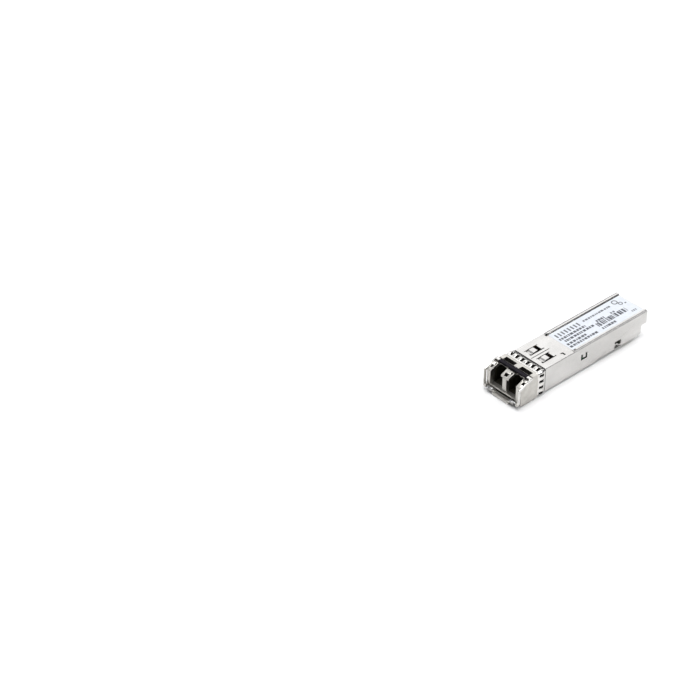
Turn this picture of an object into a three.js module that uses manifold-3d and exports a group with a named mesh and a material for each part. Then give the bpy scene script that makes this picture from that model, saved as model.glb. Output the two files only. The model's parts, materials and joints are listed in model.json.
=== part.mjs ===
// Small form-factor pluggable optical transceiver module with two LC ports and a bail latch.
//
// Millimetres. In the module's own frame X runs to the right seen from the ports, Y runs from the
// ports to the card edge with Y = 0 at the front edge of the cover, and Z = 0 is the underside of
// the body. The exported group then stands the module on its lowest point, centred in plan.

import * as THREE from 'three';
import { mergeVertices } from 'three/addons/utils/BufferGeometryUtils.js';
import Module from 'manifold-3d';

const wasm = await Module();
wasm.setup();

// ---------------------------------------------------------------- driving dimensions

const BODY_HALF_WIDTH = 6.7;
const BODY_TOP = 8.5;
const COVER_REAR = 45.8;
const SHEET = 0.25;
const GAP = 0.05;
const WELD = 0.2;

const NOSE_FRONT = -10.9;
const POST_FRONT = -11.5;
const NOSE_REAR = 0.5;
const NOSE_HALF_WIDTH = 7.1;
const NOSE_TOP = 8.6;
const FLANGE_REAR = -3.7;
const LEDGE_BOTTOM = -0.6;
const CAGE_STOP_Y = -1.7;

const PORT_PITCH = 6.25;
const PORT_WIDTH = 4.65;
const PORT_FLOOR = 1.9;
const PORT_CEILING = 6.6;
const PORT_INNER_WALL = PORT_PITCH / 2 - PORT_WIDTH / 2;
const PORT_OUTER_WALL = PORT_PITCH / 2 + PORT_WIDTH / 2;
const OPTICAL_AXIS_X = PORT_PITCH / 2;
const OPTICAL_AXIS_Z = (PORT_FLOOR + PORT_CEILING) / 2;

const GROOVE_FRONT = -8.3;
const GROOVE_REAR = -6.1;
const GROOVE_FLOOR = 8.2;
const CAP_FRONT_Z = 7.2;
const CAP_REAR_Z = 8.3;

const BAIL_PIVOT = { y: -11.9, z: 1.05 };
const BAIL_HALF_WIDTH = 7.5;
const BAIL_ARM_INNER = 7.14;
const PIN_RADIUS = 0.25;
const RUNNING_GAP = 0.04;
const PRESS_GAP = 0.006;

const LEVER_PIVOT = { y: -7.2, z: 0.6 };
const LEVER_HALF_WIDTH = 3.05;
const LEVER_CAVITY_HALF = 3.15;
const LATCH_SHOULDER_Y = 0.8;
const LATCH_BOSS_DEPTH = 0.45;

const LABEL_FRONT = 13.0;
const RECESS_HALF_WIDTH = 5.3;
const RECESS_FLOOR = 8.2;

const BOARD_BOTTOM = 2.25;
const BOARD_TOP = 3.25;
const BOARD_FRONT = 12.4;
const BOARD_REAR = 42.6;
const BOTTOM_OPENING_Y = 35.4;

// ---------------------------------------------------------------- materials

function metal(color, roughness) {
  return new THREE.MeshStandardMaterial({ color, roughness, metalness: 1.0 });
}

function moulded(color, roughness) {
  return new THREE.MeshStandardMaterial({ color, roughness, metalness: 0.0 });
}

const CAST_ZINC = metal(0xc9c4ba, 0.38);
const NICKEL_SHEET = metal(0xd2d2d2, 0.22);
const SPRING_STEEL = metal(0xd8d6d0, 0.25);
const PIN_STEEL = metal(0x9b9b9b, 0.3);
const GOLD = metal(0xd8ab4e, 0.25);
const BLACK_PLASTIC = moulded(0x17150f, 0.5);
const GRIP_BLACK = moulded(0x151319, 0.35);
const BOARD_GREEN = moulded(0x1f5a38, 0.5);
const CHIP_BLACK = moulded(0x1b1b1d, 0.6);
const CERAMIC_TAN = moulded(0xa98c66, 0.6);
const ZIRCONIA = moulded(0xf2efe6, 0.3);
const POLYIMIDE = moulded(0xb07a2a, 0.4);
const LABEL_WHITE = moulded(0xeef1f7, 0.55);
const PAD_GREY = moulded(0x8b93a0, 0.9);

// ---------------------------------------------------------------- solids

function toSolid(geometry) {
  const bare = geometry.clone();
  bare.deleteAttribute('normal');
  bare.deleteAttribute('uv');
  const merged = mergeVertices(bare);
  const index = merged.index.array;
  const corners = [];
  for (let i = 0; i < index.length; i += 3) {
    const [a, b, c] = [index[i], index[i + 1], index[i + 2]];
    if (a !== b && b !== c && c !== a) corners.push(a, b, c);
  }
  return new wasm.Manifold(new wasm.Mesh({
    numProp: 3,
    vertProperties: Float32Array.from(merged.attributes.position.array),
    triVerts: Uint32Array.from(corners),
  }));
}

function toGeometry(solid) {
  const raw = solid.getMesh();
  const geometry = new THREE.BufferGeometry();
  geometry.setAttribute('position', new THREE.BufferAttribute(raw.vertProperties, 3));
  geometry.setIndex(new THREE.BufferAttribute(raw.triVerts, 1));
  geometry.computeVertexNormals();
  return geometry;
}

// Corners are written, not shifted, so that faces meant to be flush share the same numbers.
function block([x0, x1], [y0, y1], [z0, z1]) {
  const geometry = new THREE.BoxGeometry(2, 2, 2);
  const corner = geometry.attributes.position;
  for (let i = 0; i < corner.count; i += 1) {
    const [x, y, z] = [corner.getX(i), corner.getY(i), corner.getZ(i)];
    corner.setXYZ(i, x < 0 ? x0 : x1, y < 0 ? y0 : y1, z < 0 ? z0 : z1);
  }
  return toSolid(geometry);
}

// A block and its mirror image on the other side of the module.
function blockPair([x0, x1], y, z) {
  return block([x0, x1], y, z).add(block([-x1, -x0], y, z));
}

const vector = (x, y, z) => new THREE.Vector3(x, y, z);
const ALONG_X = new THREE.Matrix4().makeBasis(vector(0, 1, 0), vector(0, 0, 1), vector(1, 0, 0));
const ALONG_Y = new THREE.Matrix4().makeBasis(vector(0, 0, 1), vector(1, 0, 0), vector(0, 1, 0));
const ALONG_Z = new THREE.Matrix4();

function extrude(shape, [from, to], basis) {
  const geometry = new THREE.ExtrudeGeometry(shape, { depth: 1, bevelEnabled: false });
  const corner = geometry.attributes.position;
  for (let i = 0; i < corner.count; i += 1) corner.setZ(i, corner.getZ(i) < 0.5 ? from : to);
  geometry.applyMatrix4(basis);
  return toSolid(geometry);
}

function shapeOf(points) {
  return new THREE.Shape(points.map(([u, v]) => new THREE.Vector2(u, v)));
}

// Outlines are [y, z] for prismX, [x, z] for prismY and [x, y] for prismZ.
const prismX = (outline, span) => extrude(shapeOf(outline), span, ALONG_X);
const prismY = (outline, span) => extrude(shapeOf(outline.map(([x, z]) => [z, x])), span, ALONG_Y);
const prismZ = (outline, span) => extrude(shapeOf(outline), span, ALONG_Z);

function prismPairX(outline, [x0, x1]) {
  return prismX(outline, [x0, x1]).add(prismX(outline, [-x1, -x0]));
}

function rodX(radius, [x0, x1], { y, z }, sides) {
  const geometry = new THREE.CylinderGeometry(radius, radius, x1 - x0, sides);
  geometry.rotateZ(-Math.PI / 2);
  geometry.translate((x0 + x1) / 2, y, z);
  return toSolid(geometry);
}

function rodPairX(radius, [x0, x1], centre, sides) {
  return rodX(radius, [x0, x1], centre, sides).add(rodX(radius, [-x1, -x0], centre, sides));
}

// A solid turned about a line along Y; the profile lists [radius, y] with y increasing outside.
function turnedY(profile, x, z, sides) {
  const points = profile.map(([radius, y]) => new THREE.Vector2(radius, y));
  const geometry = new THREE.LatheGeometry(points, sides);
  geometry.translate(x, 0, z);
  return toSolid(geometry);
}

function rodY(radius, [y0, y1], x, z, sides) {
  return turnedY([[0, y0], [radius, y0], [radius, y1], [0, y1]], x, z, sides);
}

function roundedOutline(halfWidth, low, high, radius, steps) {
  const points = [];
  const corners = [
    [halfWidth - radius, low + radius, -90],
    [halfWidth - radius, high - radius, 0],
    [-halfWidth + radius, high - radius, 90],
    [-halfWidth + radius, low + radius, 180],
  ];
  for (const [cx, cz, startDeg] of corners) {
    for (let i = 0; i <= steps; i += 1) {
      const angle = THREE.MathUtils.degToRad(startDeg + (90 * i) / steps);
      points.push([cx + radius * Math.cos(angle), cz + radius * Math.sin(angle)]);
    }
  }
  return points;
}

// ---------------------------------------------------------------- the assembly

const moduleFrame = new THREE.Group();

function addPart(name, solid, material) {
  const mesh = new THREE.Mesh(toGeometry(solid), material);
  mesh.name = name;
  moduleFrame.add(mesh);
}

// ---------------------------------------------------------------- nose casting

const INSERT_HALF_WIDTH = 5.85;
const INSERT_FRONT = -9.6;
const INSERT_REAR = -1.6;
const INSERT_BOTTOM = 1.5;
const INSERT_TOP = 7.0;
const CENTRE_CAP_HALF = 1.6;
const OUTER_POST_INNER = 5.35;
const POST_OUTER = 6.8;
const POCKET = { inner: 1.1, outer: 5.6, front: -6.0, rear: -4.6, floor: 6.5 };
const SEAT_REAR = -3.05;
const LUG_INNER = 6.3;
const CLEAR_TOP = 9.5;

function noseOutside() {
  const flange = block([-NOSE_HALF_WIDTH, NOSE_HALF_WIDTH], [NOSE_FRONT, FLANGE_REAR], [0, NOSE_TOP]);
  const posts = blockPair([OUTER_POST_INNER, POST_OUTER], [POST_FRONT, NOSE_FRONT + WELD],
    [BAIL_PIVOT.z - 0.6, NOSE_TOP]);
  const lugs = blockPair([LUG_INNER, NOSE_HALF_WIDTH], [BAIL_PIVOT.y - 0.5, POST_FRONT + WELD],
    [BAIL_PIVOT.z - 0.6, BAIL_PIVOT.z + 0.7]);
  const collarSeat = prismY(roundedOutline(6.74, 0.16, 8.36, 0.55, 3),
    [FLANGE_REAR - WELD, SEAT_REAR]);
  const neck = block([-6.3, 6.3], [SEAT_REAR - WELD, NOSE_REAR], [0.35, 8.0]);
  const floorLip = block([-5.5, 5.5], [POST_FRONT + 0.1, NOSE_FRONT + WELD],
    [INSERT_BOTTOM, PORT_FLOOR]);
  const ledges = blockPair([3.6, 6.9], [-9.6, -5.0], [LEDGE_BOTTOM, WELD]);
  const stopLugs = blockPair([3.3, 4.2], [FLANGE_REAR - WELD, CAGE_STOP_Y],
    [LEDGE_BOTTOM, 0.4 + WELD]);
  const tongues = blockPair([3.6, 5.4], [NOSE_REAR - WELD, 1.8], [0.4, 0.8]);
  return flange.add(posts).add(lugs).add(collarSeat).add(neck).add(floorLip).add(ledges)
    .add(stopLugs).add(tongues);
}

function portOpenings() {
  const front = blockPair([PORT_INNER_WALL, PORT_OUTER_WALL], [-12.5, INSERT_FRONT],
    [PORT_FLOOR, PORT_CEILING]);
  const latchSlots = blockPair([CENTRE_CAP_HALF, OUTER_POST_INNER], [-12.5, -7.0],
    [PORT_CEILING - 0.2, CLEAR_TOP]);
  const insertSeat = block([-INSERT_HALF_WIDTH - GAP, INSERT_HALF_WIDTH + GAP],
    [INSERT_FRONT, INSERT_REAR], [INSERT_BOTTOM - GAP, INSERT_TOP + GAP]);
  const barrelBores = rodY(1.55, [-2, 1], -OPTICAL_AXIS_X, OPTICAL_AXIS_Z, 20)
    .add(rodY(1.55, [-2, 1], OPTICAL_AXIS_X, OPTICAL_AXIS_Z, 20));
  return front.add(latchSlots).add(insertSeat).add(barrelBores);
}

// Square recesses in the sloping caps of the two posts and of the wall between the ports.
const CAP_RECESSES = [
  { x: [-6.75, -5.95], y: [-10.45, -9.6], floor: 6.3 },
  { x: [-0.85, 0.5], y: [-10.6, -9.5], floor: 6.62 },
  { x: [6.2, 7.3], y: [-10.15, -9.15], floor: 6.3 },
  { x: [-6.0, -5.6], y: [-9.2, -8.6], floor: 7.2 },
  { x: [0.75, 1.3], y: [-9.2, -8.6], floor: 7.2 },
  { x: [5.6, 6.05], y: [-8.95, -8.5], floor: 7.2 },
];

function noseTopCuts() {
  const rise = (CAP_REAR_Z - CAP_FRONT_Z) / (GROOVE_FRONT - NOSE_FRONT);
  const lowFront = CAP_FRONT_Z - rise * (NOSE_FRONT + 12.5);
  const slope = prismX([[-12.5, lowFront], [GROOVE_FRONT, CAP_REAR_Z], [GROOVE_FRONT, CLEAR_TOP],
    [-12.5, CLEAR_TOP]], [-8, 8]);
  const groove = block([-8, 8], [GROOVE_FRONT - 0.1, GROOVE_REAR], [GROOVE_FLOOR, CLEAR_TOP]);
  const pockets = prismPairX([[POCKET.front, POCKET.floor], [POCKET.rear - 0.4, POCKET.floor],
    [POCKET.rear + 0.4, CLEAR_TOP], [POCKET.front, CLEAR_TOP]], [POCKET.inner, POCKET.outer]);
  let cuts = slope.add(groove).add(pockets);
  for (const { x, y, floor } of CAP_RECESSES) cuts = cuts.add(block(x, y, [floor, CLEAR_TOP]));
  return cuts;
}

function noseBottomCuts() {
  const frontCavity = block([-LEVER_CAVITY_HALF, LEVER_CAVITY_HALF], [-12, -3], [-1, 1.2]);
  const rearCavity = block([-LEVER_CAVITY_HALF, LEVER_CAVITY_HALF], [-3, 1], [-1, 1.35]);
  const bailBores = rodPairX(PIN_RADIUS + RUNNING_GAP, [5, 8], BAIL_PIVOT, 16);
  const leverBore = rodX(PIN_RADIUS + PRESS_GAP, [-4.25, 4.25], LEVER_PIVOT, 16);
  return frontCavity.add(rearCavity).add(bailBores).add(leverBore);
}

addPart('nose_housing',
  noseOutside().subtract(portOpenings()).subtract(noseTopCuts()).subtract(noseBottomCuts()),
  CAST_ZINC);

// ---------------------------------------------------------------- LC port insert

function portInsert() {
  const body = block([-INSERT_HALF_WIDTH, INSERT_HALF_WIDTH],
    [INSERT_FRONT + GAP, INSERT_REAR - GAP], [INSERT_BOTTOM, INSERT_TOP]);
  const ports = blockPair([PORT_INNER_WALL, PORT_OUTER_WALL], [-10, -2.3],
    [PORT_FLOOR, PORT_CEILING]);
  const latchSlots = blockPair([CENTRE_CAP_HALF, OUTER_POST_INNER], [-10, -4.9],
    [PORT_CEILING - 0.2, 8]);
  const barrelHoles = rodY(1.55, [-3, -1], -OPTICAL_AXIS_X, OPTICAL_AXIS_Z, 20)
    .add(rodY(1.55, [-3, -1], OPTICAL_AXIS_X, OPTICAL_AXIS_Z, 20));
  return body.subtract(ports).subtract(latchSlots).subtract(barrelHoles);
}

addPart('port_insert', portInsert(), BLACK_PLASTIC);

// ---------------------------------------------------------------- EMI collar

const COLLAR_HALF_WIDTH = 6.94;
const COLLAR_LOW = -0.05;
const COLLAR_HIGH = 8.55;
const COLLAR_RADIUS = 0.7;
const COLLAR_SHEET = 0.14;
const COLLAR_STATIONS = [
  [-3.65, 0.0], [-3.05, 0.05], [-2.55, 0.19], [-2.0, 0.29], [-1.55, 0.3], [-1.1, 0.23],
  [-0.7, 0.09], [-0.42, 0.0],
];

// A closed sheet-metal band: its section is a rounded rectangle that swells along Y.
function collarBand() {
  const ringAt = (offset) => roundedOutline(COLLAR_HALF_WIDTH + offset, COLLAR_LOW - offset,
    COLLAR_HIGH + offset, COLLAR_RADIUS + offset, 3);
  const outer = COLLAR_STATIONS.map(([y, bulge]) => ({ y, ring: ringAt(bulge) }));
  const inner = COLLAR_STATIONS.map(([y, bulge]) => ({ y, ring: ringAt(bulge - COLLAR_SHEET) }));
  const loops = [...outer, ...inner.reverse()];
  const count = loops[0].ring.length;
  const positions = [];
  for (const { y, ring } of loops) {
    for (const [x, z] of ring) positions.push(x, y, z);
  }
  const index = [];
  for (let i = 0; i < loops.length; i += 1) {
    const next = (i + 1) % loops.length;
    for (let j = 0; j < count; j += 1) {
      const k = (j + 1) % count;
      const [a, b, c, d] = [i * count + j, i * count + k, next * count + k, next * count + j];
      index.push(a, c, b, a, d, c);
    }
  }
  const geometry = new THREE.BufferGeometry();
  geometry.setAttribute('position', new THREE.BufferAttribute(new Float32Array(positions), 3));
  geometry.setIndex(index);
  return toSolid(geometry);
}

function emiCollar() {
  const slotY = [-2.95, -0.95];
  let cuts = block([-4.4, 4.4], [-5, 1], [-2, 0.9]);
  for (const x of [1.1, 3.3, 5.5]) cuts = cuts.add(blockPair([x - 0.5, x + 0.5], slotY, [8, 10]));
  for (const z of [0.75, 2.95, 5.15, 7.35]) {
    cuts = cuts.add(blockPair([6, 8], slotY, [z - 0.45, z + 0.45]));
  }
  cuts = cuts.add(blockPair([5.0, 5.9], slotY, [-1, 0.3]));
  return collarBand().subtract(cuts);
}

addPart('emi_collar', emiCollar(), SPRING_STEEL);

// ---------------------------------------------------------------- bail latch handle

const GRIP_HALF_WIDTH = 5.8;
const CROSSBAR = { y: [-7.75, -6.65], z: [8.5, 8.78] };
const ARM_HALF = 0.52;
const SLEEVE_FIT = 0.02;

// One arm is a flat blade: it stands up from its pivot and then leans back along the caps.
function bailArmOutline() {
  const foot = [];
  for (let i = 0; i <= 8; i += 1) {
    const angle = Math.PI + (Math.PI * i) / 8;
    foot.push([BAIL_PIVOT.y + ARM_HALF * Math.cos(angle), BAIL_PIVOT.z + ARM_HALF * Math.sin(angle)]);
  }
  return [...foot, [BAIL_PIVOT.y + ARM_HALF, 6.1], [-11.0, 6.35], [-8.6, 7.25], [-6.5, 7.9],
    [-6.5, 8.78], [-7.9, 8.78], [-9.0, 8.0], [-11.6, 7.05], [BAIL_PIVOT.y - ARM_HALF, 6.7]];
}

function bail() {
  const arms = prismPairX(bailArmOutline(), [BAIL_ARM_INNER, BAIL_HALF_WIDTH]);
  const crossbar = block([-BAIL_ARM_INNER - 0.1, BAIL_ARM_INNER + 0.1], CROSSBAR.y, CROSSBAR.z);
  const pinHoles = rodPairX(PIN_RADIUS + PRESS_GAP, [7, 8], BAIL_PIVOT, 16);
  return arms.add(crossbar).subtract(pinHoles);
}

function bailGrip() {
  const outline = [[-8.0, 8.45], [-7.85, 8.3], [-6.5, 8.3], [-6.38, 8.42], [-6.38, 8.64], [-6.55, 8.78],
    [-7.45, 8.96], [-7.72, 8.97], [-7.9, 8.9], [-8.0, 8.75]];
  const sleeve = prismX(outline, [-GRIP_HALF_WIDTH, GRIP_HALF_WIDTH]);
  const bore = block([-8, 8], [CROSSBAR.y[0] - SLEEVE_FIT, CROSSBAR.y[1] + SLEEVE_FIT],
    [CROSSBAR.z[0] - SLEEVE_FIT, CROSSBAR.z[1] + SLEEVE_FIT]);
  return sleeve.subtract(bore);
}

// The pin turns in the nose lug; its inner end carries the cam that presses on the latch lever.
const CAM = { throw: 0.38, lobeRadius: 0.22, hubRadius: 0.3, span: [3.7, 5.2] };

function bailCamPin(side) {
  const span = ([x0, x1]) => (side > 0 ? [x0, x1] : [-x1, -x0]);
  const pin = rodX(PIN_RADIUS, span([CAM.span[0], BAIL_HALF_WIDTH - 0.15]), BAIL_PIVOT, 16);
  const hub = rodX(CAM.hubRadius, span(CAM.span), BAIL_PIVOT, 16);
  const lobeCentre = { y: BAIL_PIVOT.y - CAM.throw, z: BAIL_PIVOT.z };
  return pin.add(hub).add(rodX(CAM.lobeRadius, span(CAM.span), lobeCentre, 12));
}

addPart('bail', bail(), SPRING_STEEL);
addPart('bail_grip', bailGrip(), GRIP_BLACK);
addPart('bail_cam_pin_left', bailCamPin(-1), PIN_STEEL);
addPart('bail_cam_pin_right', bailCamPin(1), PIN_STEEL);

// ---------------------------------------------------------------- latch lever

const CAM_FOLLOWER_TOP = 0.68;

function latchLever() {
  const plate = block([-LEVER_HALF_WIDTH, LEVER_HALF_WIDTH], [-11.3, 3.5], [0.05, 0.55]);
  const knuckle = rodX(0.5, [-LEVER_HALF_WIDTH, LEVER_HALF_WIDTH], LEVER_PIVOT, 16);
  const boss = prismX([[LATCH_SHOULDER_Y, 0.2], [LATCH_SHOULDER_Y, -LATCH_BOSS_DEPTH],
    [2.6, -LATCH_BOSS_DEPTH], [3.3, 0.2]], [-1.3, 1.3]);
  const tab = prismX([[-11.0, 0.55], [-11.0, -0.3], [-11.6, -0.55], [-12.5, -0.55], [-12.5, 0.25],
    [-12.3, 0.42], [-11.4, 0.45], [-11.2, 0.55]], [-3.5, 3.5]);
  const ears = blockPair([3.3, 5.2], [-12.2, -11.2], [0.25, CAM_FOLLOWER_TOP]);
  const earRoots = blockPair([LEVER_HALF_WIDTH - WELD, 3.5], [-11.8, -11.1], [0.05, 0.5]);
  const pinBore = rodX(PIN_RADIUS + RUNNING_GAP, [-4, 4], LEVER_PIVOT, 16);
  return plate.add(knuckle).add(boss).add(tab).add(ears).add(earRoots).subtract(pinBore);
}

// A bowed leaf between the lever and the roof of its cavity, holding the latch boss down.
function latchSpring() {
  return prismX([[-1.6, 1.22], [-1.6, 1.32], [-0.4, 1.32], [1.3, 0.72], [2.4, 0.68], [2.4, 0.58],
    [1.2, 0.61], [-0.5, 1.22]], [-1.1, 1.1]);
}

addPart('latch_lever', latchLever(), CAST_ZINC);
addPart('lever_pivot_pin', rodX(PIN_RADIUS, [-4.2, 4.2], LEVER_PIVOT, 16), PIN_STEEL);
addPart('latch_spring', latchSpring(), SPRING_STEEL);

// ---------------------------------------------------------------- base casting

const BASE_HALF_WIDTH = 6.4;
const LANCE = { y: [15.8, 18.5], z: [3.8, 5.9], stroke: 0.7 };
const SNAP_WINDOW = { y: [31.2, 34.0], z: [0.7, 3.2] };
const BASE_FRONT = NOSE_REAR + GAP;
const BOARD_HALF_WIDTH = 5.8;
const CARD_EDGE_HALF_WIDTH = 4.6;
const CARD_NECK_Y = 34.5;

function baseShell() {
  const wallOutline = [[BASE_FRONT, 0], [23, 0], [23, 0.5], [41.7, 0.55], [43.0, 1.25], [43.0, 4.4],
    [BASE_FRONT, 4.4]];
  const walls = prismPairX(wallOutline, [BOARD_HALF_WIDTH + GAP, BASE_HALF_WIDTH]);
  const floor = block([-6, 6], [BASE_FRONT, BOTTOM_OPENING_Y], [0, 1.2]);
  const ledges = blockPair([5.0, 6.0], [BOARD_FRONT, 42.4], [1.0, BOARD_BOTTOM]);
  const cardGuides = blockPair([CARD_EDGE_HALF_WIDTH + 0.15, 6.0], [CARD_NECK_Y + GAP, 42.4],
    [1.3, 3.6]);
  const cradle = block([-5.9, 5.9], [6.4, 7.6], [1.0, 2.2]);
  const crossRib = block([-5.9, 5.9], [10.9, 11.6], [1.0, 2.0]);
  const leverOpening = block([-LEVER_CAVITY_HALF - 0.05, LEVER_CAVITY_HALF + 0.05], [0, 3.9],
    [-1, 2]);
  const tongueSockets = blockPair([3.55, 5.45], [0, 1.9], [0.35, 0.85]);
  const lancePockets = blockPair([5.4, 6.6], [LANCE.y[0] - 0.5, LANCE.y[1] + 0.5], [2.4, 4.6]);
  const snapPockets = blockPair([4.9, 6.6], [SNAP_WINDOW.y[0] - 0.3, SNAP_WINDOW.y[1] + 0.3],
    [SNAP_WINDOW.z[0] + 0.1, SNAP_WINDOW.z[1] + 0.3]);
  const canSeats = rodY(2.66, [6, 8], -OPTICAL_AXIS_X, OPTICAL_AXIS_Z, 24)
    .add(rodY(2.66, [6, 8], OPTICAL_AXIS_X, OPTICAL_AXIS_Z, 24));
  return walls.add(floor).add(ledges).add(cardGuides).add(cradle).add(crossRib)
    .subtract(leverOpening).subtract(tongueSockets).subtract(canSeats).subtract(snapPockets)
    .subtract(lancePockets);
}

addPart('base_shell', baseShell(), CAST_ZINC);

// ---------------------------------------------------------------- top cover

const WINDOW = { x: 2.55, half: 1.47, y: [1.4, 6.45] };
const RAIL_INNER = RECESS_HALF_WIDTH + 0.12;
const RAIL_OUTER = BODY_HALF_WIDTH - 0.1;
const RAIL_TOP = 8.66;
const RAIL_FRONT = LABEL_FRONT - 0.2;

// The left rail is a raised bead with sloping flanks, cut by the recess; the right one is a low step.
function coverRails() {
  const left = prismY([[-RAIL_OUTER, 8.3], [-RAIL_OUTER, BODY_TOP], [-6.2, RAIL_TOP], [-5.5, RAIL_TOP],
    [-5.5, 8.3]], [RAIL_FRONT, COVER_REAR]);
  const right = prismY([[RAIL_INNER, 8.3], [RAIL_INNER, RAIL_TOP], [6.05, RAIL_TOP], [6.3, BODY_TOP],
    [6.3, 8.3]], [RAIL_FRONT, COVER_REAR]);
  return left.add(right);
}

function coverSheet() {
  const outer = prismY(roundedOutline(BODY_HALF_WIDTH, -1, BODY_TOP, 0.35, 3), [0, COVER_REAR]);
  const inner = prismY(roundedOutline(BODY_HALF_WIDTH - SHEET, -2, BODY_TOP - SHEET, 0.2, 3),
    [-1, COVER_REAR + 1]);
  const sideTrim = prismX([[-1, -2], [-1, 0], [23, 0], [23, 0.45], [41.9, 0.5], [43.3, 1.2],
    [43.4, 3.65], [43.7, 3.95], [46, 3.95], [46, -2]], [-8, 8]);
  const recessPan = block([-RECESS_HALF_WIDTH - SHEET, RECESS_HALF_WIDTH + SHEET],
    [LABEL_FRONT - SHEET, COVER_REAR], [RECESS_FLOOR - SHEET, BODY_TOP - 0.1]);
  const recess = prismY([[-RECESS_HALF_WIDTH, RECESS_FLOOR], [-RECESS_HALF_WIDTH - 0.36, 8.75],
    [-RECESS_HALF_WIDTH - 0.36, 10], [RECESS_HALF_WIDTH, 10], [RECESS_HALF_WIDTH, RECESS_FLOOR]],
  [LABEL_FRONT, COVER_REAR + 1]);
  return outer.subtract(inner).add(recessPan).add(coverRails()).subtract(recess).subtract(sideTrim);
}

function coverCuts() {
  let cuts = block([-0.13, 0.13], [0.5, 8.3], [7, 9]);
  for (const x of [-WINDOW.x, WINDOW.x]) {
    cuts = cuts.add(block([x - WINDOW.half, x + WINDOW.half], WINDOW.y, [7, 9]));
    cuts = cuts.add(block([x + WINDOW.half - 0.35, x + WINDOW.half], [6.4, 7.4], [7, 9]));
    cuts = cuts.add(block([x - WINDOW.half, x - WINDOW.half + 0.25], [6.4, 7.1], [7, 9]));
  }
  const topLance = block([4.15, 5.5], [9.4, 9.95], [7, 9]).add(block([4.15, 4.5], [8.85, 9.5], [7, 9]));
  const cornerReliefs = block([-5.9, -5.0], [12.2, 13.4], [7, 9])
    .add(block([5.15, 5.95], [13.2, 14.0], [7, 9]));
  const sideLances = blockPair([6, 7.2], [LANCE.y[0], LANCE.y[0] + LANCE.stroke], LANCE.z)
    .add(blockPair([6, 7.2], LANCE.y, [LANCE.z[0], LANCE.z[0] + LANCE.stroke]))
    .add(blockPair([6, 7.2], [LANCE.y[1] - LANCE.stroke, LANCE.y[1]], LANCE.z));
  const snapWindows = blockPair([6, 7.2], SNAP_WINDOW.y, SNAP_WINDOW.z);
  return cuts.add(topLance).add(cornerReliefs).add(sideLances).add(snapWindows);
}

// Tongues cut on three sides that dip through the windows and spring against the optics.
function windowTongues() {
  const under = BODY_TOP - SHEET;
  const tongue = (x) => prismX([[1.2, under], [1.7, under], [2.3, 7.9], [2.85, 7.9], [3.4, 8.2],
    [5.1, 8.2], [5.1, 8.42], [3.3, 8.42], [2.75, 8.1], [2.4, 8.1], [1.8, BODY_TOP], [1.2, BODY_TOP]],
  [x - WINDOW.half + 0.18, x + WINDOW.half - 0.72]);
  return tongue(-WINDOW.x).add(tongue(WINDOW.x));
}

// Hooked teeth in the side windows that catch on the base casting.
function snapTeeth() {
  const tooth = [[31.0, 2.0], [31.0, 2.4], [32.3, 2.4], [33.1, 1.6], [34.2, 1.6], [34.2, 1.2],
    [32.9, 1.2], [32.1, 2.0]];
  return prismPairX(tooth, [BODY_HALF_WIDTH - SHEET, BODY_HALF_WIDTH]);
}

addPart('top_cover', coverSheet().subtract(coverCuts()).add(windowTongues()).add(snapTeeth()),
  NICKEL_SHEET);

const LABEL_OUTLINE = roundedOutline(RECESS_HALF_WIDTH - 0.15, LABEL_FRONT + 0.25,
  COVER_REAR - 0.4, 0.4, 3);
addPart('label', prismZ(LABEL_OUTLINE, [RECESS_FLOOR + 0.01, RECESS_FLOOR + 0.09]), LABEL_WHITE);

// ---------------------------------------------------------------- optical subassemblies

const BARREL_RADIUS = 1.45;
const BARREL_TIP = -5.6;
const SLEEVE_OUTER = 0.95;
const SLEEVE_INNER = 0.64;
const FLANGE_RADIUS = 2.3;
const CAN_RADIUS = 2.6;

function opticalBarrel(x) {
  const outside = turnedY([[0, BARREL_TIP], [BARREL_RADIUS - 0.2, BARREL_TIP],
    [BARREL_RADIUS, BARREL_TIP + 0.25], [BARREL_RADIUS, 0.55], [FLANGE_RADIUS, 0.55],
    [FLANGE_RADIUS, 1.5], [1.9, 1.5], [1.9, 2.0], [FLANGE_RADIUS, 2.0], [FLANGE_RADIUS, 3.4],
    [0, 3.4]], x, OPTICAL_AXIS_Z, 20);
  const sleeveSeat = rodY(SLEEVE_OUTER + 0.02, [BARREL_TIP + 0.4, -1.0], x, OPTICAL_AXIS_Z, 16);
  const mouth = rodY(0.72, [BARREL_TIP - 1, BARREL_TIP + 0.5], x, OPTICAL_AXIS_Z, 16);
  return outside.subtract(sleeveSeat).subtract(mouth);
}

function splitSleeve(x) {
  const tube = rodY(SLEEVE_OUTER, [BARREL_TIP + 0.45, -1.05], x, OPTICAL_AXIS_Z, 16);
  const bore = rodY(SLEEVE_INNER, [BARREL_TIP, 0], x, OPTICAL_AXIS_Z, 16);
  const slit = block([x - 0.08, x + 0.08], [BARREL_TIP, 0], [OPTICAL_AXIS_Z, OPTICAL_AXIS_Z + 2]);
  return tube.subtract(bore).subtract(slit);
}

function opticalCan(x) {
  return turnedY([[0, 3.45], [2.2, 3.45], [2.2, 8.3], [CAN_RADIUS, 8.3], [CAN_RADIUS, 9.2],
    [0, 9.2]], x, OPTICAL_AXIS_Z, 24);
}

// The flexible tail leaves the back of the can, turns forward along the board and lands on it.
function flexTail(x) {
  return prismX([[9.25, 2.9], [9.25, 6.0], [9.4, 6.0], [9.4, 4.1], [10.2, 3.55], [15.4, 3.42],
    [15.4, 3.27], [10.1, 3.4], [9.4, 3.7], [9.4, 2.9]], [x - 1.7, x + 1.7]);
}

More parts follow.
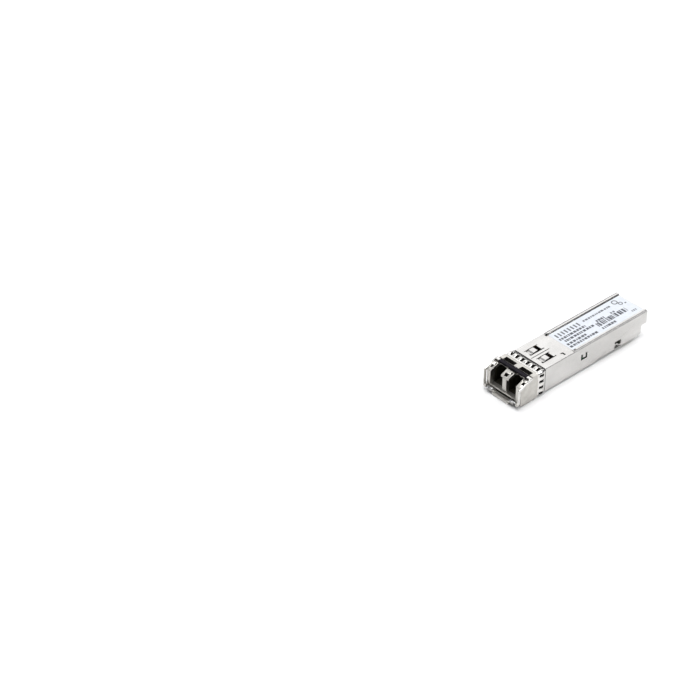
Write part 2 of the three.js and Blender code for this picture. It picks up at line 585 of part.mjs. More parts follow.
// Forked plate that presses both barrels' flanges against the back wall of the nose.
function opticsClip() {
  const plate = block([-5.7, 5.7], [1.55, 1.95], [1.9, 7.6]);
  const forks = blockPair([OPTICAL_AXIS_X - 1.95, OPTICAL_AXIS_X + 1.95], [1, 3],
    [1, OPTICAL_AXIS_Z]);
  const rounds = rodY(1.95, [1, 3], -OPTICAL_AXIS_X, OPTICAL_AXIS_Z, 20)
    .add(rodY(1.95, [1, 3], OPTICAL_AXIS_X, OPTICAL_AXIS_Z, 20));
  return plate.subtract(forks).subtract(rounds);
}

const OPTICS = [
  { role: 'transmitter', x: -OPTICAL_AXIS_X },
  { role: 'receiver', x: OPTICAL_AXIS_X },
];
for (const { role, x } of OPTICS) {
  addPart(`${role}_barrel`, opticalBarrel(x), PIN_STEEL);
  addPart(`${role}_sleeve`, splitSleeve(x), ZIRCONIA);
  addPart(`${role}_can`, opticalCan(x), PIN_STEEL);
  addPart(`${role}_flex`, flexTail(x), POLYIMIDE);
}
addPart('optics_clip', opticsClip(), SPRING_STEEL);

// ---------------------------------------------------------------- circuit board

function circuitBoard() {
  const wide = block([-BOARD_HALF_WIDTH, BOARD_HALF_WIDTH], [BOARD_FRONT, CARD_NECK_Y],
    [BOARD_BOTTOM + 0.01, BOARD_TOP]);
  const edge = prismX([[CARD_NECK_Y - 0.1, BOARD_BOTTOM + 0.01], [BOARD_REAR - 0.3, BOARD_BOTTOM + 0.01],
    [BOARD_REAR, BOARD_BOTTOM + 0.3], [BOARD_REAR, BOARD_TOP - 0.3], [BOARD_REAR - 0.3, BOARD_TOP],
    [CARD_NECK_Y - 0.1, BOARD_TOP]], [-CARD_EDGE_HALF_WIDTH, CARD_EDGE_HALF_WIDTH]);
  return wide.add(edge);
}

const CONTACT_PITCH = 0.8;
const CONTACTS_PER_SIDE = 10;
const CONTACT_PLATING = 0.04;

// One row of edge fingers, joined at their inner ends by the plating bar.
function contactRow([z0, z1]) {
  let row = block([-3.95, 3.95], [38.3, 38.5], [z0, z1]);
  for (let i = 0; i < CONTACTS_PER_SIDE; i += 1) {
    const x = (i - (CONTACTS_PER_SIDE - 1) / 2) * CONTACT_PITCH;
    row = row.add(block([x - 0.28, x + 0.28], [38.4, 42.2], [z0, z1]));
  }
  return row;
}

addPart('circuit_board', circuitBoard(), BOARD_GREEN);
addPart('edge_contacts_top', contactRow([BOARD_TOP + 0.005, BOARD_TOP + CONTACT_PLATING]), GOLD);
addPart('edge_contacts_bottom', contactRow([BOARD_BOTTOM - CONTACT_PLATING, BOARD_BOTTOM]), GOLD);

const CHIPS = [
  { name: 'laser_driver_chip', x: -2.9, y: 19.0, size: [3.2, 3.2, 0.9] },
  { name: 'receiver_amplifier_chip', x: 2.9, y: 19.0, size: [3.2, 3.2, 0.9] },
  { name: 'controller_chip', x: 0.4, y: 26.0, size: [5.0, 5.0, 1.0] },
  { name: 'memory_chip', x: -2.2, y: 32.4, size: [3.0, 2.4, 0.8] },
];
for (const { name, x, y, size: [width, depth, height] } of CHIPS) {
  const body = block([x - width / 2, x + width / 2], [y - depth / 2, y + depth / 2],
    [BOARD_TOP + 0.01, BOARD_TOP + height]);
  addPart(name, body, CHIP_BLACK);
}

const FILTER_PARTS = [
  {
    kind: 'inductor',
    material: CHIP_BLACK,
    size: [1.4, 2.0, 1.3],
    places: [[-4.6, 24.0], [-4.6, 27.5]],
  },
  { kind: 'capacitor', material: CERAMIC_TAN, size: [0.9, 1.6, 0.9],
    places: [[4.7, 24.0], [4.7, 27.0], [2.0, 32.4], [3.6, 32.4]] },
];
for (const { kind, material, size: [width, depth, height], places } of FILTER_PARTS) {
  places.forEach(([x, y], i) => {
    const body = block([x - width / 2, x + width / 2], [y - depth / 2, y + depth / 2],
      [BOARD_TOP + 0.01, BOARD_TOP + height]);
    addPart(`${kind}_${i + 1}`, body, material);
  });
}

addPart('thermal_pad', block([-4.3, -1.5], [17.6, 20.4], [BOARD_TOP + 0.95, 7.9]), PAD_GREY);

// ---------------------------------------------------------------- standing position

const wholeBox = new THREE.Box3().setFromObject(moduleFrame);
moduleFrame.position.set(0, -(wholeBox.min.y + wholeBox.max.y) / 2, -wholeBox.min.z);

const transceiver = new THREE.Group();
transceiver.add(moduleFrame);

export default transceiver;
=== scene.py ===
"""Looks of the optical transceiver module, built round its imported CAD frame.

Lengths in this script are millimetres in the module's own frame, as in the CAD source: X runs to
the right seen from the ports, Y = 0 is the front edge of the cover, and Z = 0 is the underside.
at() turns such a point into metres in the row frame. The camera, the lights and the floor are the
exception: they stand in the row frame itself.
"""

import json
import math
import random

import bmesh
import bpy
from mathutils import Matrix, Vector

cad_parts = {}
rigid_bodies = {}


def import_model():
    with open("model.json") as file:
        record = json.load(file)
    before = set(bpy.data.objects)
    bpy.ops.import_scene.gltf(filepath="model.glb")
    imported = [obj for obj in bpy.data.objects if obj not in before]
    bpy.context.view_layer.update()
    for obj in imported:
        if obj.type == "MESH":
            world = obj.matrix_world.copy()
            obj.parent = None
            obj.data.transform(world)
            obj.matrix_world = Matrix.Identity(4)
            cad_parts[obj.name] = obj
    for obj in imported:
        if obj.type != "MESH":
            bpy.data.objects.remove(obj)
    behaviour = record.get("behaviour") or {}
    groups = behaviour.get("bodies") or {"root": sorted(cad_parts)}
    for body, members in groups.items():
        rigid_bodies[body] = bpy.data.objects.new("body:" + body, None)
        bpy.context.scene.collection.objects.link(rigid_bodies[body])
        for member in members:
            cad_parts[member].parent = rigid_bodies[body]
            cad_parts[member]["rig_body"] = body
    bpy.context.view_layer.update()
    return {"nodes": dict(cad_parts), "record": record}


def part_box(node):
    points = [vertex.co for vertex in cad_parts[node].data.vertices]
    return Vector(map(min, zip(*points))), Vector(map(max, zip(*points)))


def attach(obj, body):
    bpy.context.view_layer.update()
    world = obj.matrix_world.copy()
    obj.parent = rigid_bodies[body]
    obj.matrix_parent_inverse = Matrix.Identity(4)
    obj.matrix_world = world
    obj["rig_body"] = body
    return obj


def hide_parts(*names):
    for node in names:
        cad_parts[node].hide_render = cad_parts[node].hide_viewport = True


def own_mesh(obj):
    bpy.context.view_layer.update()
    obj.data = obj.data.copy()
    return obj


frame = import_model()

MM = 0.001
COVER_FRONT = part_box("top_cover")[0].y
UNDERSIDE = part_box("base_shell")[0].z
LABEL_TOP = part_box("label")[1].z
ORIGIN = Vector((0, COVER_FRONT, UNDERSIDE))


def at(x, y, z):
    """A point of the module's own frame, in row-frame metres."""
    return ORIGIN + Vector((x, y, z)) * MM


# ---------------------------------------------------------------- camera, floor and light

# Aim, distance and clips are in metres; lens and sensor are in millimetres, as a camera keeps them.
CAMERA_AZIMUTH = math.radians(48.13)
CAMERA_ELEVATION = math.radians(36.37)
CAMERA_AIM = Vector((-44.4, -50.45, 4.85)) * MM
CAMERA_DISTANCE = 0.6803
CAMERA_LENS = 113.14
CAMERA_SENSOR = 36.0
CAMERA_CLIPS = (0.01, 20)


def add_camera():
    back = Vector(
        (
            math.sin(CAMERA_AZIMUTH) * math.cos(CAMERA_ELEVATION),
            -math.cos(CAMERA_AZIMUTH) * math.cos(CAMERA_ELEVATION),
            math.sin(CAMERA_ELEVATION),
        )
    )
    camera = bpy.data.objects.new("camera", bpy.data.cameras.new("camera"))
    bpy.context.scene.collection.objects.link(camera)
    camera.data.lens = CAMERA_LENS
    camera.data.sensor_width = CAMERA_SENSOR
    camera.data.clip_start, camera.data.clip_end = CAMERA_CLIPS
    camera.location = CAMERA_AIM + CAMERA_DISTANCE * back
    camera.rotation_mode = "QUATERNION"
    camera.rotation_quaternion = (-back).to_track_quat("-Z", "Y")
    bpy.context.scene.camera = camera


# Where each softbox stands and how large it is, in metres, and how strong, in watts. All of them
# face the row frame's origin, which lies under the module.
SOFTBOXES = {
    "overhead": ((-0.05, 0.05, 1.0), (0.6, 0.6), 7.9),
    "back_left": ((-0.62, 0.56, 0.60), (1.3, 0.62), 2.9),
    "right_key": ((0.58, 0.16, 0.69), (0.5, 0.5), 2.9),
}
FLOOR_REACH = 3.0
FLOOR_COLOUR = (0.86, 0.86, 0.86, 1)
FLOOR_ROUGHNESS = 0.12

# The room's light from the horizon, 0, to straight overhead, 1. Below the horizon it stays as at 0.
ROOM_HORIZON = (0.045, 0.045, 0.05, 1)
ROOM_OVERHEAD = (0.55, 0.55, 0.56, 1)
ROOM_BETWEEN = {0.28: (0.06, 0.06, 0.065, 1), 0.4: (0.30, 0.305, 0.32, 1)}
# The plain white that the camera sees in place of the room.
BACKDROP = (1.1, 1.1, 1.1, 1)

# Sockets of a colour Mix node, which share their names with those of its other data types.
MIX_FACTOR, MIX_FIRST, MIX_SECOND, MIX_RESULT = 0, 6, 7, 2


def add_softbox(name, place, size, power):
    light = bpy.data.lights.new(name, "AREA")
    light.shape = "RECTANGLE"
    light.size, light.size_y = size
    light.energy = power
    holder = bpy.data.objects.new(name, light)
    bpy.context.scene.collection.objects.link(holder)
    holder.location = place
    holder.rotation_mode = "QUATERNION"
    holder.rotation_quaternion = (-Vector(place)).to_track_quat("-Z", "Y")


def add_world():
    """A dim room, darkest round the horizon, that shows plain white to the camera."""
    world = bpy.data.worlds.new("studio")
    bpy.context.scene.world = world
    world.use_nodes = True
    tree = world.node_tree
    background = tree.nodes["Background"]
    place = tree.nodes.new("ShaderNodeTexCoord")
    split = tree.nodes.new("ShaderNodeSeparateXYZ")
    room = tree.nodes.new("ShaderNodeValToRGB")
    room.color_ramp.elements[0].position = 0.0
    room.color_ramp.elements[0].color = ROOM_HORIZON
    room.color_ramp.elements[1].position = 1.0
    room.color_ramp.elements[1].color = ROOM_OVERHEAD
    for height, colour in ROOM_BETWEEN.items():
        room.color_ramp.elements.new(height).color = colour
    path = tree.nodes.new("ShaderNodeLightPath")
    seen = tree.nodes.new("ShaderNodeMix")
    seen.data_type = "RGBA"
    seen.inputs[MIX_SECOND].default_value = BACKDROP
    tree.links.new(place.outputs["Generated"], split.inputs["Vector"])
    tree.links.new(split.outputs["Z"], room.inputs["Fac"])
    tree.links.new(room.outputs["Color"], seen.inputs[MIX_FIRST])
    tree.links.new(path.outputs["Is Camera Ray"], seen.inputs[MIX_FACTOR])
    tree.links.new(seen.outputs[MIX_RESULT], background.inputs["Color"])


def add_floor():
    mesh = bpy.data.meshes.new("floor")
    signs = ((-1, -1), (1, -1), (1, 1), (-1, 1))
    corners = [(x * FLOOR_REACH, y * FLOOR_REACH, 0) for x, y in signs]
    mesh.from_pydata(corners, [], [(0, 1, 2, 3)])
    floor = bpy.data.objects.new("floor", mesh)
    bpy.context.scene.collection.objects.link(floor)
    white = bpy.data.materials.new("floor_white")
    white.use_nodes = True
    shader = white.node_tree.nodes["Principled BSDF"]
    shader.inputs["Base Color"].default_value = FLOOR_COLOUR
    shader.inputs["Roughness"].default_value = FLOOR_ROUGHNESS
    mesh.materials.append(white)


bpy.context.scene.view_settings.view_transform = "Standard"
add_camera()
add_world()
add_floor()
for name, (place, size, power) in SOFTBOXES.items():
    add_softbox(name, place, size, power)


# ---------------------------------------------------------------- material building blocks


def new_material(name):
    made = bpy.data.materials.new(name)
    made.use_nodes = True
    tree = made.node_tree
    return made, tree, tree.nodes["Principled BSDF"]


def grain(tree, size, stretch=(1, 1, 1), detail=2.0):
    """Noise with blotches about size millimetres across, drawn out along X, Y and Z by stretch."""
    place = tree.nodes.new("ShaderNodeTexCoord")
    scaled = tree.nodes.new("ShaderNodeMapping")
    texture = tree.nodes.new("ShaderNodeTexNoise")
    scaled.inputs["Scale"].default_value = [1 / (size * MM * s) for s in stretch]
    texture.inputs["Scale"].default_value = 1.0
    texture.inputs["Detail"].default_value = detail
    tree.links.new(place.outputs["Object"], scaled.inputs["Vector"])
    tree.links.new(scaled.outputs["Vector"], texture.inputs["Vector"])
    return texture.outputs["Fac"]


def tinted(tree, value, dark, light, low=0.35, high=0.65):
    """A colour that goes from dark to light as value goes from low to high."""
    ramp = tree.nodes.new("ShaderNodeValToRGB")
    ramp.color_ramp.elements[0].position = low
    ramp.color_ramp.elements[0].color = (*dark, 1)
    ramp.color_ramp.elements[1].position = high
    ramp.color_ramp.elements[1].color = (*light, 1)
    tree.links.new(value, ramp.inputs["Fac"])
    return ramp.outputs["Color"]


def spread(tree, value, low, high):
    """A number that goes from low to high over the middle of a noise's values."""
    span = tree.nodes.new("ShaderNodeMapRange")
    span.inputs["From Min"].default_value = 0.3
    span.inputs["From Max"].default_value = 0.7
    span.inputs["To Min"].default_value = low
    span.inputs["To Max"].default_value = high
    tree.links.new(value, span.inputs["Value"])
    return span.outputs["Result"]


def raised(tree, shader, layers):
    """Bumps on a shader: each layer is (height value, relief in millimetres)."""
    normal = None
    for height, relief in layers:
        bump = tree.nodes.new("ShaderNodeBump")
        bump.inputs["Distance"].default_value = relief * MM
        tree.links.new(height, bump.inputs["Height"])
        if normal is not None:
            tree.links.new(normal, bump.inputs["Normal"])
        normal = bump.outputs["Normal"]
    tree.links.new(normal, shader.inputs["Normal"])


# ---------------------------------------------------------------- metals


def metal(name, dark, light, roughness, blotch, streak, relief):
    """A plated or bare metal: blotch and streak are (size, stretch) of its noises."""
    made, tree, shader = new_material(name)
    shader.inputs["Metallic"].default_value = 1.0
    blotches = grain(tree, blotch[0], blotch[1], 3.0)
    streaks = grain(tree, streak[0], streak[1], 4.0)
    tree.links.new(tinted(tree, blotches, dark, light), shader.inputs["Base Color"])
    tree.links.new(spread(tree, streaks, *roughness), shader.inputs["Roughness"])
    raised(tree, shader, [(blotches, relief[0]), (streaks, relief[1])])
    return made


EVEN = (1, 1, 1)
ALONG_Y = (1, 25, 1)
ALONG_X = (25, 1, 1)

CAST_ZINC = metal(
    "cast_zinc",
    dark=(0.49, 0.475, 0.445),
    light=(0.57, 0.555, 0.52),
    roughness=(0.26, 0.40),
    blotch=(1.6, EVEN),
    streak=(0.09, EVEN),
    relief=(0.012, 0.0025),
)
NICKEL_SHEET = metal(
    "nickel_sheet",
    dark=(0.55, 0.54, 0.525),
    light=(0.62, 0.61, 0.595),
    roughness=(0.17, 0.30),
    blotch=(5.0, (1, 1.6, 1)),
    streak=(0.06, ALONG_Y),
    relief=(0.02, 0.0008),
)
SPRING_STEEL = metal(
    "spring_steel",
    dark=(0.60, 0.59, 0.57),
    light=(0.70, 0.69, 0.665),
    roughness=(0.14, 0.26),
    blotch=(1.2, EVEN),
    streak=(0.05, ALONG_X),
    relief=(0.006, 0.0008),
)
PIN_STEEL = metal(
    "pin_steel",
    dark=(0.42, 0.42, 0.42),
    light=(0.55, 0.55, 0.55),
    roughness=(0.2, 0.34),
    blotch=(0.8, EVEN),
    streak=(0.04, (20, 1, 20)),
    relief=(0.003, 0.001),
)
GOLD_PLATE = metal(
    "gold_plate",
    dark=(0.66, 0.42, 0.13),
    light=(0.82, 0.56, 0.21),
    roughness=(0.18, 0.32),
    blotch=(1.5, EVEN),
    streak=(0.05, EVEN),
    relief=(0.004, 0.001),
)


# ---------------------------------------------------------------- plastics, board and film


def moulded(name, dark, light, roughness, pore, relief, gloss=0.5):
    """A moulded or fired surface: a fine pore texture and slow drift in colour and gloss."""
    made, tree, shader = new_material(name)
    drift = grain(tree, pore * 12, EVEN, 2.0)
    pores = grain(tree, pore, EVEN, 3.0)
    tree.links.new(tinted(tree, drift, dark, light), shader.inputs["Base Color"])
    tree.links.new(spread(tree, drift, *roughness), shader.inputs["Roughness"])
    shader.inputs["Specular IOR Level"].default_value = gloss
    raised(tree, shader, [(pores, relief)])
    return made


BLACK_PLASTIC = moulded(
    "black_plastic", (0.008, 0.007, 0.004), (0.016, 0.014, 0.008), (0.42, 0.55), 0.06, 0.006, gloss=0.25
)
GRIP_PLASTIC = moulded(
    "grip_plastic", (0.004, 0.003, 0.006), (0.009, 0.007, 0.012), (0.42, 0.52), 0.08, 0.004, gloss=0.1
)
CHIP_PLASTIC = moulded(
    "chip_plastic", (0.012, 0.012, 0.013), (0.028, 0.028, 0.03), (0.5, 0.66), 0.05, 0.008
)
CERAMIC = moulded(
    "ceramic", (0.32, 0.22, 0.12), (0.44, 0.31, 0.18), (0.42, 0.55), 0.05, 0.004
)
ZIRCONIA = moulded(
    "zirconia", (0.80, 0.78, 0.72), (0.88, 0.86, 0.81), (0.14, 0.22), 0.05, 0.001
)
POLYIMIDE = moulded(
    "polyimide", (0.36, 0.17, 0.03), (0.48, 0.24, 0.05), (0.24, 0.36), 0.1, 0.002
)
PAD_SILICONE = moulded(
    "pad_silicone", (0.22, 0.25, 0.31), (0.29, 0.32, 0.39), (0.75, 0.9), 0.07, 0.02
)
LABEL_FILM = moulded(
    "label_film", (0.57, 0.60, 0.645), (0.62, 0.65, 0.695), (0.36, 0.46), 0.09, 0.0015
)
INK_BLACK = moulded(
    "ink_black", (0.045, 0.048, 0.060), (0.080, 0.084, 0.10), (0.4, 0.55), 0.05, 0.001
)
# Painted shade: a near-black put on hollows of the casting in place of the shade that falls there.
PAINTED_SHADE_RECESS = moulded(
    "painted_shade_recess", (0.012, 0.011, 0.010), (0.025, 0.023, 0.020), (0.55, 0.7), 0.1, 0.004, gloss=0.2
)
INK_GREY = moulded(
    "ink_grey", (0.075, 0.078, 0.09), (0.13, 0.135, 0.15), (0.4, 0.55), 0.05, 0.001
)


def solder_mask():
    """Green mask over copper tracks that show through as raised, paler lines."""
    made, tree, shader = new_material("board")
    place = tree.nodes.new("ShaderNodeTexCoord")
    scaled = tree.nodes.new("ShaderNodeMapping")
    bricks = tree.nodes.new("ShaderNodeTexBrick")
    scaled.inputs["Scale"].default_value = (1 / (0.9 * MM),) * 3
    bricks.inputs["Scale"].default_value = 1.0
    bricks.inputs["Mortar Size"].default_value = 0.12
    bricks.inputs["Mortar Smooth"].default_value = 0.3
    bricks.inputs["Brick Width"].default_value = 3.0
    bricks.inputs["Row Height"].default_value = 0.7
    bricks.inputs["Color1"].default_value = (0.010, 0.075, 0.035, 1)
    bricks.inputs["Color2"].default_value = (0.012, 0.085, 0.040, 1)
    bricks.inputs["Mortar"].default_value = (0.035, 0.20, 0.085, 1)
    tree.links.new(place.outputs["Object"], scaled.inputs["Vector"])
    tree.links.new(scaled.outputs["Vector"], bricks.inputs["Vector"])
    tree.links.new(bricks.outputs["Color"], shader.inputs["Base Color"])
    weave = grain(tree, 0.12, EVEN, 2.0)
    tree.links.new(spread(tree, weave, 0.28, 0.42), shader.inputs["Roughness"])
    raised(tree, shader, [(bricks.outputs["Fac"], 0.015), (weave, 0.003)])
    return made


BOARD = solder_mask()

BY_SLOT = {
    "cast_zinc": CAST_ZINC,
    "nickel_sheet": NICKEL_SHEET,
    "spring_steel": SPRING_STEEL,
    "pin_steel": PIN_STEEL,
    "gold_plate": GOLD_PLATE,
    "black_plastic": BLACK_PLASTIC,
    "grip_plastic": GRIP_PLASTIC,
    "board": BOARD,
    "chip_plastic": CHIP_PLASTIC,
    "ceramic": CERAMIC,
    "zirconia": ZIRCONIA,
    "polyimide": POLYIMIDE,
    "label_film": LABEL_FILM,
    "pad_silicone": PAD_SILICONE,
}
SLOT_OF = {part["node"]: part["material_slot"] for part in frame["record"]["subparts"]}


# ---------------------------------------------------------------- mesh building blocks


def add_piece(name, bm, body, slot, material=None):
    """Turns a bmesh into a piece that rides on a CAD body."""
    mesh = bpy.data.meshes.new(name)
    bm.normal_update()
    bm.to_mesh(mesh)
    bm.free()
    mesh.materials.append(material or BY_SLOT[slot])
    piece = bpy.data.objects.new(name, mesh)
    bpy.context.scene.collection.objects.link(piece)
    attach(piece, body)
    return piece


ROUNDED_FROM = math.radians(33)
LARGE_FACES_RULE = 100


def round_edges(piece, width, segments=2):
    """Rounds every edge sharper than a limit, and lets the large faces rule the shading."""
    bevel = piece.modifiers.new("rounding", "BEVEL")
    bevel.width = width * MM
    bevel.segments = segments
    bevel.limit_method = "ANGLE"
    bevel.angle_limit = ROUNDED_FROM
    bevel.use_clamp_overlap = False
    bevel.miter_outer = "MITER_ARC"
    shading = piece.modifiers.new("shading", "WEIGHTED_NORMAL")
    shading.weight = LARGE_FACES_RULE
    shading.keep_sharp = True
    for face in piece.data.polygons:
        face.use_smooth = True


SHARED_CORNER = 0.0008 * MM


def refined(node, width, crease=None):
    """A finished copy of a CAD node: its facets joined at shared corners and its edges rounded."""
    source = frame["nodes"][node]
    bm = bmesh.new()
    bm.from_mesh(source.data)
    bmesh.ops.remove_doubles(bm, verts=bm.verts, dist=SHARED_CORNER)
    for edge in bm.edges:
        if crease and edge.calc_face_angle(0.0) > math.radians(crease):
            edge.smooth = False
    piece = add_piece(f"{node}_finished", bm, source["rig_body"], SLOT_OF[node])
    round_edges(piece, width)
    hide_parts(node)
    return piece


def add_box(bm, low, high):
    """A closed block between two corners of the module's own frame."""
    xs, ys, zs = zip(low, high)
    corners = [bm.verts.new(at(x, y, z)) for x in xs for y in ys for z in zs]
    for loop in ((0, 1, 3, 2), (4, 6, 7, 5), (0, 4, 5, 1), (2, 3, 7, 6), (0, 2, 6, 4), (1, 5, 7, 3)):
        bm.faces.new([corners[i] for i in loop])


# ---------------------------------------------------------------- castings, sheet and plastics

ROUNDING = {
    "nose_housing": 0.06,
    "port_insert": 0.06,
    "bail": 0.1,
    "bail_grip": 0.05,
    "bail_cam_pin_left": 0.05,
    "bail_cam_pin_right": 0.05,
    "latch_lever": 0.06,
    "lever_pivot_pin": 0.05,
    "base_shell": 0.06,
    "top_cover": 0.03,
    "label": 0.015,
    "optics_clip": 0.05,
    "circuit_board": 0.03,
    "edge_contacts_top": 0.01,
    "edge_contacts_bottom": 0.01,
    "thermal_pad": 0.15,
}
for role in ("transmitter", "receiver"):
    ROUNDING[f"{role}_barrel"] = 0.05
    ROUNDING[f"{role}_sleeve"] = 0.03
    ROUNDING[f"{role}_can"] = 0.08
    ROUNDING[f"{role}_flex"] = 0.02
for chip in ("laser_driver", "receiver_amplifier", "controller", "memory"):
    ROUNDING[f"{chip}_chip"] = 0.06
for number in (1, 2):
    ROUNDING[f"inductor_{number}"] = 0.08
for number in (1, 2, 3, 4):
    ROUNDING[f"capacitor_{number}"] = 0.06

# The low bead along the cover has flanks too shallow to be rounded, so they are kept crisp.
CREASES = {"top_cover": 19.5}

for node, width in ROUNDING.items():
    refined(node, width, crease=CREASES.get(node))

# Painted shade: faces of the casting in these hollows get a near-black that stands in for the shade
# in them. The hollows, as spans of x, y and z: the neck under the collar, the two pockets behind the
# grip, and the square recesses in the caps.
HOLLOWS_IN_PAINTED_SHADE = [
    ((-8.0, 8.0), (-3.12, 0.7), (-1.0, 9.0)),
    ((-5.65, -1.05), (-6.05, -4.1), (6.3, 8.15)),
    ((1.05, 5.65), (-6.05, -4.1), (6.3, 8.15)),
    ((-6.8, -5.9), (-10.5, -9.55), (6.2, 7.1)),
    ((-0.9, 0.55), (-10.65, -9.45), (6.5, 7.3)),
    ((6.15, 7.08), (-10.2, -9.1), (6.2, 7.3)),
    ((-6.05, -5.55), (-9.25, -8.55), (7.1, 7.75)),
    ((0.7, 1.35), (-9.25, -8.55), (7.1, 7.75)),
    ((5.55, 6.1), (-9.0, -8.45), (7.1, 7.8)),
]


def paint_shade_in_hollows():
    # Paints shade: faces of the nose whose middle lies in a hollow get the near-black second material.
    nose = bpy.data.objects["nose_housing_finished"]
    nose.data.materials.append(PAINTED_SHADE_RECESS)
    for face in nose.data.polygons:
        middle = (face.center - ORIGIN) / MM
        for spans in HOLLOWS_IN_PAINTED_SHADE:
            if all(low < place < high for place, (low, high) in zip(middle, spans)):
                face.material_index = 1


paint_shade_in_hollows()

# The leaf, which flattens against the roof of its cavity as the lever rises under it, gets a finished copy
# with a mesh of its own.
spring = refined("latch_spring", 0.015)
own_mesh(spring)


# ---------------------------------------------------------------- EMI collar

COLLAR_HALF_WIDTH = 6.94
COLLAR_LOW = -0.05
COLLAR_HIGH = 8.55
COLLAR_RADIUS = 0.7
COLLAR_BULGE = 0.3
COLLAR_SHEET = 0.14
COLLAR_FRONT = -3.65
COLLAR_REAR = -0.42
COLLAR_FOOT = 4.4
SLOT_FRONT = -2.95
SLOT_REAR = -1.15
TOP_SLOTS = [(x - 0.5, x + 0.5) for x in (-5.5, -3.3, -1.1, 1.1, 3.3, 5.5)]
SIDE_SLOTS = [(z - 0.45, z + 0.45) for z in (0.75, 2.95, 5.15, 7.35)]
FOOT_SLOTS = [(5.0, 5.9)]
COLLAR_STEP_ROUND = 0.25
COLLAR_STEP_ALONG = 0.16
COLLAR_CORNER_STEPS = 8
COLLAR_EDGE_ROUNDING = 0.03
# The bulge is highest a little behind the middle, and its flanks run out flat at both ends.
BULGE_LEAN = 1.3
BULGE_FLATNESS = 1.5
# How near a point has to be to a face of the band for that face's slots to cut it.
NEAR_FACE = 0.3
NEAR_FOOT = 0.1


def stations(start, end, slots, step):
    """Places from start to end, on every slot's edges and no further apart than step."""
    marks = sorted({start, end, *(edge for slot in slots for edge in slot)})
    places = [marks[0]]
    for low, high in zip(marks, marks[1:]):
        count = max(1, math.ceil((high - low) / step))
        places += [low + (high - low) * i / count for i in range(1, count + 1)]
    return places


def collar_section():
    """The right half of the band from its foot up to the middle: (x, z, normal x, normal z)."""
    flat_x = COLLAR_HALF_WIDTH - COLLAR_RADIUS
    flat_low = COLLAR_LOW + COLLAR_RADIUS
    flat_high = COLLAR_HIGH - COLLAR_RADIUS
    foot = stations(COLLAR_FOOT, flat_x, FOOT_SLOTS, COLLAR_STEP_ROUND)
    line = [(x, COLLAR_LOW, 0, -1) for x in foot]
    arc = [math.radians(90 * i / COLLAR_CORNER_STEPS) for i in range(1, COLLAR_CORNER_STEPS)]
    line += [
        (flat_x + COLLAR_RADIUS * math.sin(a), flat_low - COLLAR_RADIUS * math.cos(a),
         math.sin(a), -math.cos(a))
        for a in arc
    ]
    edges = [(max(low, flat_low), min(high, flat_high)) for low, high in SIDE_SLOTS]
    up = stations(flat_low, flat_high, edges, COLLAR_STEP_ROUND)
    line += [(COLLAR_HALF_WIDTH, z, 1, 0) for z in up]
    line += [
        (flat_x + COLLAR_RADIUS * math.cos(a), flat_high + COLLAR_RADIUS * math.sin(a),
         math.cos(a), math.sin(a))
        for a in arc
    ]
    right_slots = [slot for slot in TOP_SLOTS if slot[0] > 0]
    across = stations(0, flat_x, right_slots, COLLAR_STEP_ROUND)
    line += [(x, COLLAR_HIGH, 0, 1) for x in reversed(across)]
    return line


def collar_bulge(y):
    """How far the band stands out from its flat section at y."""
    along = (y - COLLAR_FRONT) / (COLLAR_REAR - COLLAR_FRONT)
    return COLLAR_BULGE * max(0.0, math.sin(math.pi * along**BULGE_LEAN)) ** BULGE_FLATNESS


def in_slot(x, y, z):
    """Whether a point of the band lies in one of its slots."""
    if not SLOT_FRONT < y < SLOT_REAR:
        return False
    if z > COLLAR_HIGH - NEAR_FACE:
        return any(low < x < high for low, high in TOP_SLOTS)
    if abs(x) > COLLAR_HALF_WIDTH - NEAR_FACE:
        return any(low < z < high for low, high in SIDE_SLOTS)
    return z < COLLAR_LOW + NEAR_FOOT and any(low < abs(x) < high for low, high in FOOT_SLOTS)


def emi_collar():
    """The sprung band, as one bulged sheet with its slots left out."""
    half = collar_section()
    section = half + [(-x, z, -nx, nz) for x, z, nx, nz in reversed(half[:-1])]
    rows = stations(COLLAR_FRONT, COLLAR_REAR, [(SLOT_FRONT, SLOT_REAR)], COLLAR_STEP_ALONG)
    bm = bmesh.new()
    grid = []
    for y in rows:
        out = collar_bulge(y)
        grid.append([bm.verts.new(at(x + nx * out, y, z + nz * out)) for x, z, nx, nz in section])
    for i in range(len(rows) - 1):
        for j in range(len(section) - 1):
            middle_x = (section[j][0] + section[j + 1][0]) / 2
            middle_z = (section[j][1] + section[j + 1][1]) / 2
            if not in_slot(middle_x, (rows[i] + rows[i + 1]) / 2, middle_z):
                bm.faces.new((grid[i][j], grid[i][j + 1], grid[i + 1][j + 1], grid[i + 1][j]))
    loose = [vertex for vertex in bm.verts if not vertex.link_faces]
    bmesh.ops.delete(bm, geom=loose, context="VERTS")
    bmesh.ops.recalc_face_normals(bm, faces=bm.faces)
    collar = add_piece("emi_collar_finished", bm, "module_body", "spring_steel")
    sheet = collar.modifiers.new("sheet", "SOLIDIFY")
    sheet.thickness = COLLAR_SHEET * MM
    sheet.offset = -1
    round_edges(collar, COLLAR_EDGE_ROUNDING, segments=1)
    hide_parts("emi_collar")


emi_collar()


# ---------------------------------------------------------------- label print

PRINT_THICKNESS = 0.012
PRINT_SUNK = 0.006
PRINT_BASE = (LABEL_TOP - ORIGIN.z) / MM - PRINT_SUNK


def add_mark(bm, x, y):
    """A flat printed mark over the spans x and y."""
    add_box(bm, (x[0], y[0], PRINT_BASE), (x[1], y[1], PRINT_BASE + PRINT_THICKNESS))


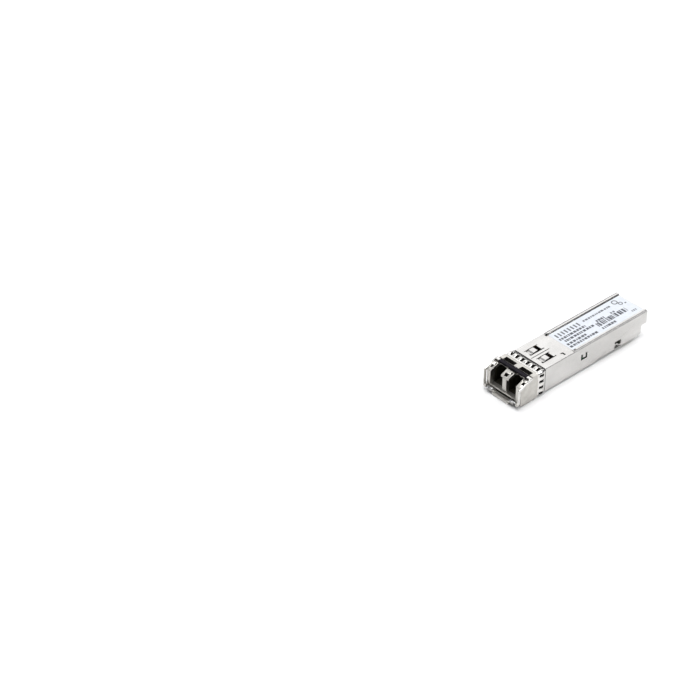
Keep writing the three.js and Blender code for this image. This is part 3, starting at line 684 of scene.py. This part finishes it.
def add_ring(bm, centre, radius, stroke, sides=32):
    """A printed ring."""
    levels = (PRINT_BASE, PRINT_BASE + PRINT_THICKNESS)
    loops = []
    inside = radius - stroke
    section = ((levels[0], inside), (levels[0], radius), (levels[1], radius), (levels[1], inside))
    turns = [2 * math.pi * i / sides for i in range(sides)]
    for level, edge in section:
        points = [at(centre[0] + edge * math.cos(t), centre[1] + edge * math.sin(t), level) for t in turns]
        loops.append([bm.verts.new(point) for point in points])
    for i in range(4):
        here, there = loops[i], loops[(i + 1) % 4]
        for j in range(sides):
            k = (j + 1) % sides
            bm.faces.new((here[j], here[k], there[k], there[j]))


def dashes(bm, x, start, end, height, lengths, gap, seed):
    """A line of stand-in print: plain dashes of uneven length with even gaps."""
    chance = random.Random(seed)
    y = start
    while y < end:
        length = min(chance.uniform(*lengths), end - y)
        if length > gap:
            add_mark(bm, (x - height / 2, x + height / 2), (y, y + length))
        y += length + gap * chance.uniform(0.8, 1.6)


def finish_print(name, bm, ink):
    bmesh.ops.recalc_face_normals(bm, faces=bm.faces)
    add_piece(name, bm, "module_body", "label_film", ink)


# Each row of dark print: its place across the label, where it starts and ends, and its seed.
DARK_ROWS = [
    (-1.0, 14.0, 25.5, 3),
    (0.55, 14.8, 27.7, 4),
    (2.25, 14.0, 22.4, 5),
    (3.7, 13.9, 26.5, 6),
    (-0.3, 29.7, 33.8, 7),
    (3.6, 28.4, 34.6, 8),
]
DARK_HEIGHT = 0.95
DARK_LENGTHS = (0.4, 1.2)
DARK_GAP = 0.26
# Each row of grey print: the same, with its dashes' height, lengths and gap before the seed.
GREY_ROWS = [
    (-3.05, 26.6, 39.0, 0.75, (0.4, 1.1), 0.25, 11),
    (-0.3, 36.2, 38.0, 0.8, (0.5, 0.9), 0.3, 12),
    (3.4, 42.1, 44.4, 0.8, (0.3, 0.6), 0.25, 13),
]
# Each ring: its middle, its outer radius and its stroke.
RINGS = [((-3.5, 41.5), 1.1, 0.4), ((-1.9, 42.6), 0.8, 0.35)]
RING_NOTE = ((-1.4, -0.9), (43.7, 44.4))
HEADING = {"x": (-3.9, -2.1), "start": 14.4, "pitch": 1.38, "width": 0.6, "count": 8}
BARS = {"x": (0.35, 2.4), "start": 28.4, "end": 42.0, "seed": 21}
BAR_WIDTHS = (0.22, 0.4, 0.6, 0.8)
BAR_GAPS = (0.16, 0.26, 0.5)


def dark_print():
    bm = bmesh.new()
    for x, start, end, seed in DARK_ROWS:
        dashes(bm, x, start, end, DARK_HEIGHT, DARK_LENGTHS, DARK_GAP, seed)
    finish_print("label_dark_rows", bm, INK_BLACK)


def grey_print():
    bm = bmesh.new()
    for i in range(HEADING["count"]):
        y = HEADING["start"] + HEADING["pitch"] * i
        add_mark(bm, HEADING["x"], (y, y + HEADING["width"]))
    for x, start, end, height, lengths, gap, seed in GREY_ROWS:
        dashes(bm, x, start, end, height, lengths, gap, seed)
    for centre, radius, stroke in RINGS:
        add_ring(bm, centre, radius, stroke)
    add_mark(bm, *RING_NOTE)
    finish_print("label_grey_rows", bm, INK_GREY)


def barcode():
    """A plain run of bars of a few widths; it codes nothing."""
    bm = bmesh.new()
    chance = random.Random(BARS["seed"])
    y = BARS["start"]
    while y < BARS["end"]:
        width = chance.choice(BAR_WIDTHS)
        add_mark(bm, BARS["x"], (y, y + width))
        y += width + chance.choice(BAR_GAPS)
    finish_print("label_barcode", bm, INK_BLACK)


dark_print()
grey_print()
barcode()
